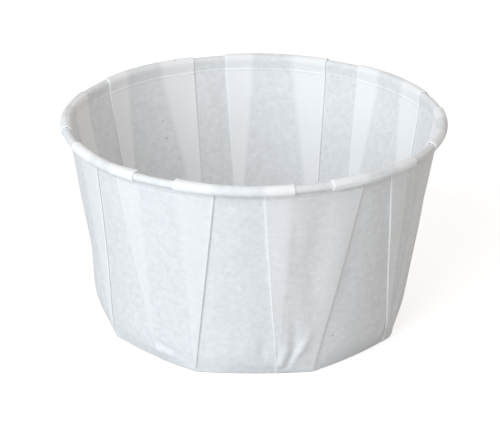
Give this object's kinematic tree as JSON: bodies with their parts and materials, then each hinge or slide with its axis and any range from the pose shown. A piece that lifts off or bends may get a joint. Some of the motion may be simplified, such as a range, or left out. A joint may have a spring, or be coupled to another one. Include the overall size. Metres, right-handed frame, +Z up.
{
  "type": "paper souffle cup",
  "caption": "White pleated paper souffle cup with a flat eight-sided base, box-pleated wall and rolled rim.",
  "frame": {"origin": "centre of the flat base, on the plane the cup stands on", "axes": "+Z up along the cup's axis towards the rolled rim; the side of the base that faces the viewer in the picture is towards -Y"},
  "size_m": [0.068, 0.068, 0.0382],
  "materials": {
    "paper": "matt"
  },
  "bodies": {
    "root": {"cup": "paper"}
  },
  "joints": []
}
